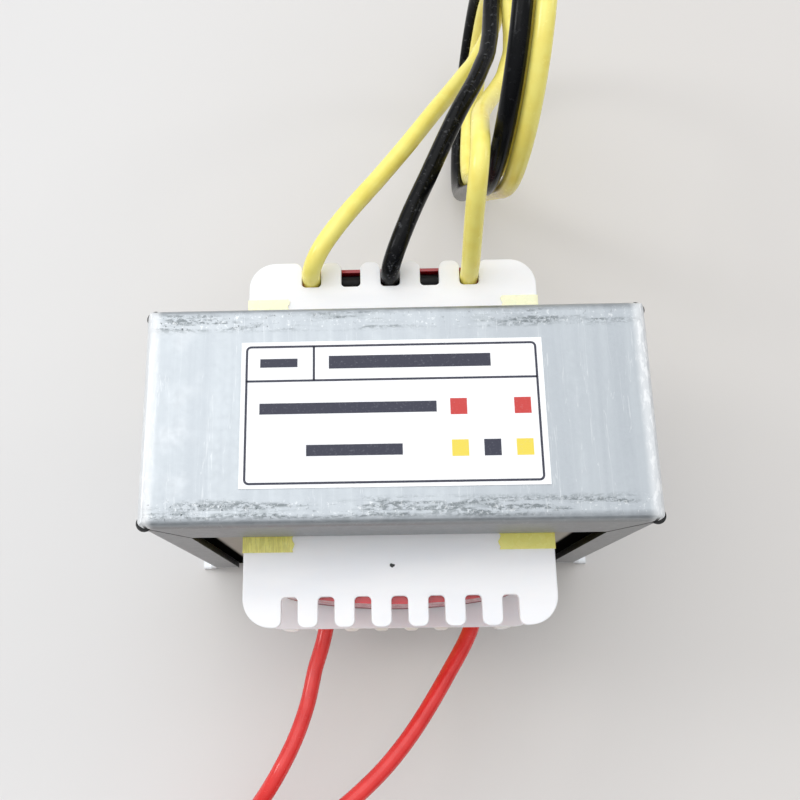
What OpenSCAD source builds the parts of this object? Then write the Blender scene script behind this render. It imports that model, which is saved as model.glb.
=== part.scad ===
// Laminated chassis transformer.
// An interleaved E-I core sits in a folded channel frame with two screw ears.
// A sectional bobbin carries the primary below and the secondary above.
// Flying leads leave on both sides, and their spare length is tied up.
// Millimetres, +Z up. The feet stand on z = 0, centred on the origin,
// with the primary leads towards -Y and the secondary leads towards +Y.

/* [Core] */
// Width of one lamination, six times the window unit
lam_w = 66; // [64:0.5:67]
// Thickness of one packet of laminations stacked the same way
packet_t = 2; // [1.8:0.05:2]
// Number of packets, half of them each way up
packets = 14; // [12:2:14]
// Diameter of the four stacking holes
stack_hole_d = 4.2; // [3:0.1:5]
// Height of the core above the mounting plane
core_lift = 0.5; // [0.3:0.1:0.8]

/* [Frame] */
// Thickness of the galvanised strap
sheet = 1; // [0.9:0.05:1]
// Outer radius of the folds
fold_r = 1.5; // [1.3:0.1:1.8]
// Depth of the flanges over the yoke
yoke_flange = 10.5; // [9:0.5:11]
// Width of the flanges over the outer legs
leg_flange = 5.2; // [4:0.1:6]
// Width of the open seam between the folded flanges
seam = 0.2; // [0.1:0.05:0.4]
// Distance between the two mounting holes
mount_pitch = 80; // [78:0.5:84]
// Diameter of the mounting holes
mount_hole_d = 4.2; // [3.5:0.1:5]
// Radius of the rounded end of each ear
ear_r = 6; // [5:0.5:7]

/* [Bobbin] */
// Wall of the bobbin's tube
tube_wall = 1.1; // [0.8:0.1:1.3]
// Thickness of its three flanges
flange_t = 1.2; // [1:0.1:1.4]
// Reach of the upper flange on the primary side
flange_near = 27.25; // [27:0.05:28]
// Reach of the two lower flanges on the primary side
lower_flange_near = 27; // [26.8:0.05:28]
// Reach of the flanges on the secondary side
flange_far = 27; // [27:0.05:28]
// Radius of the flange corners
flange_r = 4; // [3:0.5:5]
// Pitch of the seven primary notches
near_pitch = 5.08; // [4.8:0.04:5.2]
// Width of a primary notch
near_notch_w = 2.3; // [2:0.1:2.6]
// Depth of a primary notch
near_notch_d = 4.1; // [3.8:0.05:4.1]
// Pitch of the five secondary notches
far_pitch = 6; // [5.8:0.05:6.2]
// Width of a secondary notch
far_notch_w = 2.9; // [2.9:0.1:3.3]
// Depth of a secondary notch
far_notch_d = 4; // [3.8:0.05:4]

/* [Windings] */
// Thickness of each copper winding
build_up = 7; // [6:0.1:7]
// Thickness of the tape wrapped round each winding
wrap_t = 0.4; // [0.2:0.05:0.4]
// Thickness of the tape strips on the bobbin's sides
strip_t = 0.15; // [0.1:0.05:0.2]

/* [Label] */
// Width of the paper label
label_w = 40.3; // [30:0.1:50]
// Depth of the paper label
label_d = 20; // [14:0.5:24]
// Thickness of the paper label
label_t = 0.12; // [0.1:0.01:0.2]

/* [Leads] */
// Outer diameter of the two primary leads
primary_od = 2.5; // [2.2:0.1:2.5]
// Outer diameter of the three secondary leads
secondary_od = 2.8; // [2.4:0.1:2.8]
// Diameter of a tinned end
tip_d = 1.3; // [1:0.1:1.4]
// Length of a tinned end
tip_len = 6; // [4:0.5:6]

/* [Hidden] */
$fn = 48;
// Overcut that lets a cutter pass clean through
cut = 1;

// Core, from the window unit of a scrapless E-I lamination
unit = lam_w / 6;
lam_h = 5 * unit;
stack = packets * packet_t;
core_top = core_lift + lam_h;
window_bottom = core_lift + unit;
window_top = core_top - unit;
stack_hole_x = lam_w / 2 - unit / 2;

// Frame
frame_w = lam_w + 2 * sheet;
frame_d = stack + 2 * sheet;
frame_top = core_top + sheet;
fold_z = frame_top - fold_r;
flange_z = frame_top - yoke_flange;
flange_x = frame_w / 2 - leg_flange;
relief_x = frame_w / 2 - fold_r;
foot_fold_r = 0.6;
foot_fold_x = frame_w / 2 + foot_fold_r;
foot_fold_z = sheet + foot_fold_r;
leg_flange_z = foot_fold_z + 0.8;
// Open slot left round each upper corner by the folding
corner_slot = [2.4, 0.8];
corner_slot_z = fold_z + 0.1;
ear_root_x = foot_fold_x + 1;
ear_root_y = 11;
ear_x = mount_pitch / 2;
// Direction from the ear's centre to the point where its straight edge leaves the round end
ear_edge_a = atan2(ear_root_y, ear_root_x - ear_x)
  - acos(ear_r / norm([ear_root_x - ear_x, ear_root_y]));

// Bobbin
leg_clearance = 0.2;
tube_in = [2 * unit + 2 * leg_clearance, stack + 2 * leg_clearance];
tube_out = [tube_in.x + 2 * tube_wall, tube_in.y + 2 * tube_wall];
head_gap = 0.3;
// The bobbin rests on the lower yoke through the tabs of its tape strips
bobbin_bottom = window_bottom + strip_t;
bobbin_top = window_top - head_gap;
flange_half_w = 2 * unit - 0.25;
section_h = (bobbin_top - bobbin_bottom - 3 * flange_t) / 2;
primary_z = bobbin_bottom + flange_t;
secondary_z = primary_z + section_h + flange_t;
far_shift = -0.3;
notch_corner_r = 0.6;
near_mouth_r = 1;
far_mouth_r = 1.2;

// Windings and their tape
winding_r = 4;
winding = [tube_out.x + 2 * build_up, tube_out.y + 2 * build_up];
wrapped = [winding.x + 2 * wrap_t, winding.y + 2 * wrap_t];
// The secondary's wrap swells over the joints of the primary side
bulge_half_w = 16;
bulge_rise = 1.5;
bulge_r = (pow(bulge_half_w, 2) + pow(bulge_rise, 2)) / (2 * bulge_rise);
// and carries a pad over the soldered ends of the secondary leads, with a lip outside them
lead_y = flange_far - far_notch_d + secondary_od / 2 + 0.05;
pad_w = 30;
pad_d = lead_y + secondary_od / 2 + 0.05 - wrapped.y / 2;
pad_top = 40.5;
pad_bottom = secondary_z + 0.2;
lip_t = 0.5;
lip_top = secondary_z + section_h - 0.3;

// Tape strips, by the reach of their tabs from the middle, near end first
strip_near_y = 17;
strip_far_y = 21;
left_tab_x = [14.5, 15.5];
right_tab_x = [13.8, 16.2];

// Label, a little off the middle of the frame
label_pos = [-0.6, -0.2];

// Coil that stores the primary leads: three turns across and two turns high
coil_pos = [-14, -80];
coil_mid_r = 13.5;
coil_in_r = coil_mid_r - 1.5 * primary_od;
coil_out_r = coil_mid_r + 1.5 * primary_od;
tie_t = 0.4;
tie_w = 3;
coil_tip_r = sqrt(pow(coil_in_r - tip_d / 2, 2) - pow(tip_len / 2, 2));

// Hank that stores the secondary leads: an upright oval of three lanes, standing on its
// low end, with a gap on its far run where the leads join and their tips end
half_run = 17.6;
lane_out = 19.9;
lane_in = 17.1;
lane_x = 1.55;
hank_gap = 20;
hank_out_r = lane_out + secondary_od / 2;
hank_in_r = lane_in - secondary_od / 2;
hank_t = 2 * lane_x + secondary_od;
hank_tie_s = -14;
hank_angle = [27, 3, -5];
hank_rest_z = (half_run * cos(hank_angle.x) + hank_out_r) * cos(hank_angle.y)
  + hank_t / 2 * sin(hank_angle.y);
hank_pos = [18.3, 65, hank_rest_z + 0.05];
// The leads turn down into the far run round this point
turn_b = 11.1;
turn_s = -8;

// Routes of the free leads, as points along the middle of each wire
red_route_1 = [
  [-11.4, -22.7, 19], [-11.4, -25, 19], [-12.2, -29, 19], [-13.4, -33, 19.5],
  [-14.5, -38, 20], [-16.2, -43, 21.3], [-18.5, -47.6, 22], [-21, -51.5, 20.5],
  [-24, -55.5, 17], [-27, -60, 11.5], [-29.3, -64.5, 5.6], [-30, -68, 2.6],
  [-30, -70.8, 2]
];
red_route_2 = [
  [12.4, -22.7, 21.5], [12.4, -25, 21.5], [11, -28.6, 22], [8.1, -33.3, 23],
  [4.9, -38.2, 24], [1.4, -43, 24.7], [-2.7, -47.6, 25], [-7.6, -51.9, 24.8],
  [-13.5, -56.3, 23.4], [-19.5, -60.3, 20], [-24.8, -63.6, 15.3], [-28.6, -66.8, 9.8],
  [-30, -69.2, 6.2], [-30, -71, 5]
];
yellow_route_1 = [
  [-12.3, 24.45, 40.5], [-12.3, 24.45, 43.2], [-12.1, 24.95, 46.3], [-10.4, 27.6, 48.6],
  [-6.6, 32.8, 49], [-2.3, 38.9, 47.3], [2.4, 45.2, 46.5], [7.2, 52.5, 44.8],
  [11.2, 59, 42.4], [14.9, 65, 40.4]
];
black_route = [
  [-0.3, 24.45, 40.5], [-0.3, 24.45, 43.2], [-0.2, 25, 46.4], [1, 27.8, 48.8],
  [3.1, 32.8, 49.5], [5.6, 38.4, 49.2], [8.3, 44.3, 49.5], [11, 50, 49.6],
  [13.8, 56, 48], [16.3, 63, 45.6]
];
yellow_route_2 = [
  [11.7, 24.45, 40.5], [11.7, 24.45, 43.5], [11.7, 24.9, 47], [11.6, 26.5, 51.5],
  [11.6, 29, 56.5], [11.8, 32, 60.3], [12.2, 36, 61.3], [12.6, 40.5, 59.2],
  [13.4, 45.5, 55.2], [15.6, 51, 50.6], [18.5, 57.5, 46.4], [20.6, 65, 43.3]
];

// A place in the hank's own axes, across, outward and along its runs, as a point of the part
function hank_point(u, b, s) =
  let (y = b * cos(hank_angle.x) - s * sin(hank_angle.x))
  let (z = b * sin(hank_angle.x) + s * cos(hank_angle.x))
  let (x = u * cos(hank_angle.y) + z * sin(hank_angle.y))
  hank_pos + [
    x * cos(hank_angle.z) - y * sin(hank_angle.z),
    x * sin(hank_angle.z) + y * cos(hank_angle.z),
    z * cos(hank_angle.y) - u * sin(hank_angle.y)
  ];

// The bend of a lead into its lane, down to the face where the hank starts
function into_lane(u, b) = [
  for (a = [0, 45, 90])
    hank_point(u, turn_b + (b - turn_b) * sin(a), turn_s + (b - turn_b) * cos(a)),
  hank_point(u, b, -hank_gap / 2)
];

function unit_vector(v) = v / norm(v);

// Direction of a route at point i
function heading(route, i) =
  unit_vector(route[min(i + 1, len(route) - 1)] - route[max(i - 1, 0)]);

// Points round a route, with flats towards the walls of the notches
function tube_ring(p, along, r, sides) =
  let (side = unit_vector(cross(along, [1, 0, 0])))
  let (up = cross(side, along))
  [for (k = [0:sides - 1]) p + r * (cos((k + 0.5) * 360 / sides) * side
    + sin((k + 0.5) * 360 / sides) * up)];

module tube(route, od, sides = 8) {
  last = (len(route) - 1) * sides;
  points = [for (i = [0:len(route) - 1])
    each tube_ring(route[i], heading(route, i), od / 2, sides)];
  walls = [for (i = [0:len(route) - 2], k = [0:sides - 1])
    let (a = i * sides + k)
    let (b = i * sides + (k + 1) % sides)
    each [[a, b, b + sides], [a, b + sides, a + sides]]];
  start_face = [for (k = [sides - 1:-1:0]) k];
  end_face = [for (k = [0:sides - 1]) last + k];
  polyhedron(points, concat(walls, [start_face, end_face]), convexity = 4);
}

// Extrudes an X-Z outline by d, centred on the X-Z plane
module extrude_y(d) {
  rotate([90, 0, 0]) linear_extrude(d, center = true) children();
}

// Extrudes a Y-Z outline by w, centred on the Y-Z plane
module extrude_x(w) {
  rotate([90, 0, 90]) linear_extrude(w, center = true) children();
}

module both_sides() {
  children();
  mirror([1, 0, 0]) children();
}

module rounded_rect(size, r) {
  square([size.x - 2 * r, size.y], center = true);
  square([size.x, size.y - 2 * r], center = true);
  for (x = [-1, 1], y = [-1, 1])
    translate([x * (size.x / 2 - r), y * (size.y / 2 - r)]) circle(r);
}

// Section of a tight fold, in the first quadrant, pressed square on the core's edge
module tight_fold() {
  intersection() {
    difference() {
      circle(fold_r);
      translate([-cut, -cut]) square(fold_r - sheet + cut);
    }
    square(fold_r + cut);
  }
}

// Section of the open fold over a foot, in the first quadrant
module foot_fold() {
  intersection() {
    difference() {
      circle(foot_fold_r + sheet);
      circle(foot_fold_r);
    }
    square(foot_fold_r + sheet + cut);
  }
}

// Strap seen from the front: web, leg, foot fold and the root of the foot
module strap_outline() {
  both_sides() {
    translate([-cut, frame_top - sheet]) square([relief_x + cut, sheet]);
    translate([relief_x, fold_z]) tight_fold();
    translate([frame_w / 2 - sheet, foot_fold_z]) square([sheet, fold_z - foot_fold_z]);
    translate([foot_fold_x, foot_fold_z]) rotate(180) foot_fold();
    translate([foot_fold_x, 0]) square([ear_root_x - foot_fold_x, sheet]);
  }
}

// Section of a folded channel: web across, flanges turned down by depth
module channel_section(depth) {
  both_sides() {
    translate([-cut, -sheet]) square([frame_d / 2 - fold_r + cut, sheet]);
    translate([frame_d / 2 - fold_r, -fold_r]) tight_fold();
    translate([frame_d / 2 - sheet, -depth]) square([sheet, depth - fold_r]);
  }
}

// Flanges over the yoke, cut back along the seam
module yoke_channel() {
  intersection() {
    extrude_x(2 * relief_x)
      translate([0, frame_top]) channel_section(yoke_flange + cut);
    extrude_y(frame_d + cut) polygon([
      [-relief_x, frame_top + cut], [relief_x, frame_top + cut],
      [relief_x, fold_z], [flange_x, flange_z],
      [-flange_x, flange_z], [-relief_x, fold_z]
    ]);
  }
}

// Flanges over one outer leg, cut back along the same seam
module leg_channel() {
  slope = (fold_z - flange_z) / (relief_x - flange_x);
  intersection() {
    translate([frame_w / 2, 0, leg_flange_z])
      linear_extrude(fold_z - leg_flange_z) rotate(-90) channel_section(leg_flange + cut);
    extrude_y(frame_d + cut) polygon([
      [flange_x, leg_flange_z - cut], [frame_w / 2 + cut, leg_flange_z - cut],
      [frame_w / 2 + cut, fold_z + cut], [relief_x + seam + cut / slope, fold_z + cut],
      [flange_x, flange_z - seam * slope]
    ]);
  }
}

module ear() {
  edge = [ear_x + ear_r * cos(ear_edge_a), ear_r * sin(ear_edge_a)];
  difference() {
    linear_extrude(sheet) {
      polygon([
        [foot_fold_x, -ear_root_y], [ear_root_x, -ear_root_y], [edge.x, -edge.y],
        edge, [ear_root_x, ear_root_y], [foot_fold_x, ear_root_y]
      ]);
      translate([ear_x, 0]) circle(ear_r);
    }
    translate([ear_x, 0, -cut]) cylinder(h = sheet + 2 * cut, d = mount_hole_d);
  }
}

module quarter_disc() {
  intersection() {
    circle(fold_r);
    square(fold_r + cut);
  }
}

// Metal drawn down over the corner of the core, where the three folds meet
module corner_cap() {
  difference() {
    intersection() {
      extrude_y(frame_d) translate([relief_x, fold_z]) quarter_disc();
      extrude_x(frame_w) translate([frame_d / 2 - fold_r, fold_z]) quarter_disc();
      translate([relief_x, frame_d / 2 - fold_r, fold_z])
        linear_extrude(fold_r + cut) quarter_disc();
    }
    cube([frame_w / 2 - sheet, frame_d / 2 - sheet, core_top]);
  }
}

module corner_opening() {
  end_r = corner_slot.y / 2;
  translate([frame_w / 2, frame_d / 2, corner_slot_z]) rotate([90, 0, 135])
    linear_extrude(4, center = true) {
      square([corner_slot.x - corner_slot.y, corner_slot.y], center = true);
      for (side = [-1, 1]) translate([side * (corner_slot.x / 2 - end_r), 0]) circle(end_r);
    }
}

module near_and_far() {
  children();
  mirror([0, 1, 0]) children();
}

module mounting_frame() {
  color("#b9c2c6") difference() {
    union() {
      extrude_y(frame_d - 2 * fold_r) strap_outline();
      extrude_y(frame_d) intersection() {
        strap_outline();
        translate([-mount_pitch, -cut]) square([2 * mount_pitch, leg_flange_z + cut]);
      }
      yoke_channel();
      both_sides() {
        leg_channel();
        ear();
        near_and_far() corner_cap();
      }
    }
    both_sides() near_and_far() corner_opening();
  }
}

module stack_holes(z) {
  for (x = [-1, 1]) translate([x * stack_hole_x, z]) circle(d = stack_hole_d);
}

// E lamination with its yoke at the bottom
module e_outline() {
  difference() {
    translate([-lam_w / 2, 0]) square([lam_w, 4 * unit]);
    for (x = [-2 * unit, unit]) translate([x, unit]) square([unit, 3 * unit + cut]);
    stack_holes(unit / 2);
  }
}

module i_outline() {
  difference() {
    translate([-lam_w / 2, 0]) square([lam_w, unit]);
    stack_holes(unit / 2);
  }
}

// Every second packet, starting from packet number first
module packets_from(first) {
  for (i = [first:2:packets - 1])
    translate([0, (i + 0.5) * packet_t - stack / 2, 0]) extrude_y(packet_t) children();
}

module e_laminations_up() {
  color("#5d5c5b") packets_from(0) translate([0, core_top]) mirror([0, 1]) e_outline();
}

module e_laminations_down() {
  color("#555453") packets_from(1) translate([0, core_lift]) e_outline();
}

module i_laminations_top() {
  color("#656463") packets_from(1) translate([0, window_top]) i_outline();
}

module i_laminations_bottom() {
  color("#605f5e") packets_from(0) translate([0, core_lift]) i_outline();
}

// Notch that opens at y = 0 and runs to y = depth
module notch(w, depth, mouth_r) {
  translate([-w / 2, -cut]) square([w, depth - notch_corner_r + cut]);
  translate([notch_corner_r - w / 2, 0]) square([w - 2 * notch_corner_r, depth]);
  for (side = [-1, 1])
    translate([side * (w / 2 - notch_corner_r), depth - notch_corner_r]) circle(notch_corner_r);
  difference() {
    translate([-w / 2 - mouth_r, -cut]) square([w + 2 * mouth_r, mouth_r + cut]);
    for (side = [-1, 1]) translate([side * (w / 2 + mouth_r), mouth_r]) circle(mouth_r);
  }
}

// Flange with a given reach on the primary side, the middle one being plain
module bobbin_flange(near_reach, notched = true) {
  linear_extrude(flange_t) difference() {
    translate([0, (flange_far - near_reach) / 2])
      rounded_rect([2 * flange_half_w, near_reach + flange_far], flange_r);
    if (notched) {
      for (i = [-3:3])
        translate([i * near_pitch, -near_reach]) notch(near_notch_w, near_notch_d, near_mouth_r);
      for (i = [-2:2])
        translate([far_shift + i * far_pitch, flange_far])
          mirror([0, 1]) notch(far_notch_w, far_notch_d, far_mouth_r);
    }
    square(tube_in, center = true);
  }
}

module bobbin() {
  color("#eef0f2") {
    translate([0, 0, bobbin_bottom]) linear_extrude(bobbin_top - bobbin_bottom) difference() {
      square(tube_out, center = true);
      square(tube_in, center = true);
    }
    translate([0, 0, bobbin_bottom]) bobbin_flange(lower_flange_near);
    translate([0, 0, primary_z + section_h]) bobbin_flange(lower_flange_near, notched = false);
    translate([0, 0, secondary_z + section_h]) bobbin_flange(flange_near);
  }
}

// Copper wound in one section of the bobbin
module copper(z) {
  color("#b0623a") translate([0, 0, z]) linear_extrude(section_h) difference() {
    rounded_rect(winding, winding_r);
    square(tube_out, center = true);
  }
}

module primary_winding() {
  copper(primary_z);
}

module secondary_winding() {
  copper(secondary_z);
}

module wrap_outline() {
  difference() {
    rounded_rect(wrapped, winding_r + wrap_t);
    rounded_rect(winding, winding_r);
  }
}

module primary_wrap() {
  color("#e3d45c") translate([0, 0, primary_z]) linear_extrude(section_h) wrap_outline();
}

module secondary_wrap() {
  color("#a3343b") {
    translate([0, 0, secondary_z]) linear_extrude(section_h) {
      wrap_outline();
      translate([0, -wrapped.y / 2]) intersection() {
        translate([0, bulge_r - bulge_rise]) circle(bulge_r, $fn = 240);
        translate([-bulge_half_w, -bulge_rise]) square([2 * bulge_half_w, bulge_rise]);
      }
    }
    translate([-pad_w / 2, wrapped.y / 2, pad_bottom])
      cube([pad_w, pad_d, pad_top - pad_bottom]);
    translate([-pad_w / 2, wrapped.y / 2 + pad_d, pad_bottom])
      cube([pad_w, lip_t, lip_top - pad_bottom]);
  }
}

// Insulating sleeve over the joints, between neighbouring secondary leads
module centre_tap_sleeve() {
  sleeve_d = 2.4;
  color("#161416") for (i = [-1, 0])
    translate([
      far_shift + 2 * i * far_pitch + secondary_od / 2, lead_y, pad_top + sleeve_d / 2
    ]) rotate([0, 90, 0]) cylinder(h = 2 * far_pitch - secondary_od, d = sleeve_d);
}

// Strip folded round the edge of the flanges, on the +X side
module side_tape(tab_x) {
  outer = flange_half_w + strip_t;
  color("#efe79a") {
    translate([flange_half_w, -strip_near_y, bobbin_bottom - strip_t])
      cube([strip_t, strip_near_y + strip_far_y, bobbin_top - bobbin_bottom + 2 * strip_t]);
    for (z = [bobbin_bottom - strip_t, bobbin_top])
      translate([0, 0, z]) linear_extrude(strip_t) polygon([
        [tab_x[0], -strip_near_y], [outer, -strip_near_y],
        [outer, strip_far_y], [tab_x[1], strip_far_y]
      ]);
  }
}

module left_side_tape() {
  mirror([1, 0, 0]) side_tape(left_tab_x);
}

module right_side_tape() {
  side_tape(right_tab_x);
}

module paper_label() {
  color("#f7f8f8") translate([
    label_pos.x - label_w / 2, label_pos.y - label_d / 2, frame_top
  ]) cube([label_w, label_d, label_t]);
}

module red_lead_1() {
  color("#d8342f") tube(red_route_1, primary_od);
}

module red_lead_2() {
  color("#d8342f") tube(red_route_2, primary_od);
}

module yellow_lead_1() {
  color("#f0df5a") tube(concat(yellow_route_1, into_lane(0, lane_in)), secondary_od);
}

module yellow_lead_2() {
  color("#f0df5a") tube(concat(yellow_route_2, into_lane(lane_x, lane_out)), secondary_od);
}

module black_lead() {
  color("#1b1b1e") tube(concat(black_route, into_lane(-lane_x, lane_out)), secondary_od);
}

module primary_coil() {
  color("#cf332f") translate([coil_pos.x, coil_pos.y, tie_t]) rotate_extrude()
    translate([coil_in_r, 0]) square([coil_out_r - coil_in_r, 2 * primary_od]);
}

// Two paper-wire ties, opposite each other round the coil
module primary_coil_tie() {
  tie_angle = tie_w / coil_mid_r * 180 / PI;
  color("#f2f2ee") for (a = [90, 270])
    translate([coil_pos.x, coil_pos.y, 0]) rotate(a - tie_angle / 2)
      rotate_extrude(angle = tie_angle) difference() {
        translate([coil_in_r - tie_t, 0])
          square([coil_out_r - coil_in_r + 2 * tie_t, 2 * primary_od + 2 * tie_t]);
        translate([coil_in_r, tie_t]) square([coil_out_r - coil_in_r, 2 * primary_od]);
      }
}

module in_hank() {
  translate(hank_pos) rotate(hank_angle) children();
}

// Outline with straight runs and round ends
module oval(r) {
  square([2 * r, 2 * half_run], center = true);
  for (end = [-1, 1]) translate([0, end * half_run]) circle(r, $fn = 96);
}

module secondary_hank() {
  color("#d9c84f") in_hank() extrude_x(hank_t) difference() {
    oval(hank_out_r);
    oval(hank_in_r);
    translate([hank_in_r - cut, -hank_gap / 2])
      square([hank_out_r - hank_in_r + 2 * cut, hank_gap]);
  }
}

module secondary_hank_tie() {
  depth = hank_out_r - hank_in_r;
  color("#f2f2ee") in_hank()
    translate([0, hank_in_r + depth / 2, hank_tie_s])
      linear_extrude(tie_w, center = true) difference() {
        square([hank_t + 2 * tie_t, depth + 2 * tie_t], center = true);
        square([hank_t, depth], center = true);
      }
}

// Tinned end resting inside the coil, at an angle round it and a layer of it
module coil_tip(a, layer) {
  color("#c9ccce") translate([coil_pos.x, coil_pos.y, tie_t + (layer + 0.5) * primary_od])
    rotate(a) translate([coil_tip_r, 0, 0]) rotate([90, 0, 0])
      cylinder(h = tip_len, d = tip_d, center = true);
}

// Tinned end that stands out of the hank's last face, in one lane
module hank_tip(u, b) {
  color("#c9ccce") in_hank()
    translate([u, b, hank_gap / 2 - tip_len]) cylinder(h = tip_len, d = tip_d);
}

module red_lead_1_tip() {
  coil_tip(60, 0);
}

module red_lead_2_tip() {
  coil_tip(20, 1);
}

module yellow_lead_1_tip() {
  hank_tip(0, lane_in);
}

module yellow_lead_2_tip() {
  hank_tip(lane_x, lane_out);
}

module black_lead_tip() {
  hank_tip(-lane_x, lane_out);
}

mounting_frame();
e_laminations_up();
e_laminations_down();
i_laminations_top();
i_laminations_bottom();
bobbin();
primary_winding();
secondary_winding();
primary_wrap();
secondary_wrap();
centre_tap_sleeve();
left_side_tape();
right_side_tape();
paper_label();
red_lead_1();
red_lead_2();
yellow_lead_1();
yellow_lead_2();
black_lead();
primary_coil();
primary_coil_tie();
secondary_hank();
secondary_hank_tie();
red_lead_1_tip();
red_lead_2_tip();
yellow_lead_1_tip();
yellow_lead_2_tip();
black_lead_tip();
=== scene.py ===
"""The looks of a laminated chassis transformer: wires, tapes, label and finishes."""

import math

import bmesh
import bpy
from mathutils import Matrix, Vector, geometry, noise


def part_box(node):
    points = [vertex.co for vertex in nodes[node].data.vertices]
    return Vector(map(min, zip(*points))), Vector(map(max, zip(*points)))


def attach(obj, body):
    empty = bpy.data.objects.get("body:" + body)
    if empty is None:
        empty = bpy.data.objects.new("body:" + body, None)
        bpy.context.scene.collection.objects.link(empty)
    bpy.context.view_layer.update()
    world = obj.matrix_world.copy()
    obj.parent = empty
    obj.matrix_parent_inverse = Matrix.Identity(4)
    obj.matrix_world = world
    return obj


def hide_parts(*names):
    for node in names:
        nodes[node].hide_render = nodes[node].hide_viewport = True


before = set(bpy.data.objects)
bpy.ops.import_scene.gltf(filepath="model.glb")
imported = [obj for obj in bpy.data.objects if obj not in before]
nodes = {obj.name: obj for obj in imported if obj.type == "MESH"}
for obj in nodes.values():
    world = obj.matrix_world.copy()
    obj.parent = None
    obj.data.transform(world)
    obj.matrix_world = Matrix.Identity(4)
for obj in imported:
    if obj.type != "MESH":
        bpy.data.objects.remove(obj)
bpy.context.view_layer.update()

MM = 0.001
UP = Vector((0, 0, 1))


# ---------------------------------------------------------------- helpers

# settings that many nodes share, with the output to take from a mix of colours
EASED = {"interpolation_type": "SMOOTHSTEP"}
COLOURS = {"data_type": "RGBA", "output": 2}
TIMES = {"operation": "MULTIPLY"}
PLUS = {"operation": "ADD"}
MINUS = {"operation": "SUBTRACT"}
LARGER = {"operation": "MAXIMUM"}
UNSIGNED = {"operation": "ABSOLUTE"}


def mm(*values):
    """A point or a size given in millimetres."""
    return Vector(values) * MM


def linear(hex_code):
    """Linear colour of an sRGB hex value."""
    levels = [int(hex_code[i:i + 2], 16) / 255 for i in (1, 3, 5)]
    red, green, blue = [
        level / 12.92 if level <= 0.04045 else ((level + 0.055) / 1.055) ** 2.4
        for level in levels
    ]
    return (red, green, blue, 1.0)


def add(tree, kind, inputs=(), output=0, **settings):
    """Adds a node with its settings, and gives the output asked for.

    The inputs are links, numbers or hex colours, given in the node's order or by name.
    """
    node = tree.nodes.new("ShaderNode" + kind)
    for name, value in settings.items():
        setattr(node, name, value)
    given = inputs.items() if isinstance(inputs, dict) else enumerate(inputs)
    for name, value in given:
        if isinstance(value, bpy.types.NodeSocket):
            tree.links.new(value, node.inputs[name])
            continue
        if isinstance(value, str):
            value = linear(value)
        node.inputs[name].default_value = value
    return node.outputs[output] if node.outputs else None


def start_material(name):
    """An empty material, its node tree and its place on the object."""
    material = bpy.data.materials.new(name)
    material.use_nodes = True
    tree = material.node_tree
    tree.nodes.clear()
    return material, tree, add(tree, "TexCoord", output="Object")


def close_material(tree, inputs):
    """The surface shader and the output of a material."""
    add(tree, "OutputMaterial", {"Surface": add(tree, "BsdfPrincipled", inputs)})


def cloud(tree, place, size, detail=3.0, stretch=(1, 1, 1), roughness=0.5):
    """Soft noise whose blotches are about size metres wide, longer along a low stretch."""
    spread = add(tree, "Mapping", {"Vector": place, "Scale": stretch})
    inputs = {"Vector": spread, "Scale": 1 / size, "Detail": detail, "Roughness": roughness}
    return add(tree, "TexNoise", inputs)


def scratched(tree, place, size, stretch, width):
    """Thin wandering lines, where a stretched noise passes its middle value."""
    field = cloud(tree, place, size, 4, stretch, 0.6)
    off_line = add(tree, "Math", (field, 0.5), **MINUS)
    off_line = add(tree, "Math", (off_line,), **UNSIGNED)
    return add(tree, "MapRange", (off_line, width * 0.3, width, 1, 0), **EASED)


def overlap(tree, *masks):
    """Where several masks lie over each other."""
    shared = masks[0]
    for mask in masks[1:]:
        shared = add(tree, "Math", (shared, mask), **TIMES)
    return shared


# ---------------------------------------------------------------- materials

# the open seam of a corner climbs from its foot, where the two flanges part
SEAM_FOOT_X = 28.8 * MM
SEAM_FOOT_Z = 46 * MM
SEAM_SLOPE = 2.43
# the web's upper face
WEB_Z = 56.5 * MM


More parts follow.
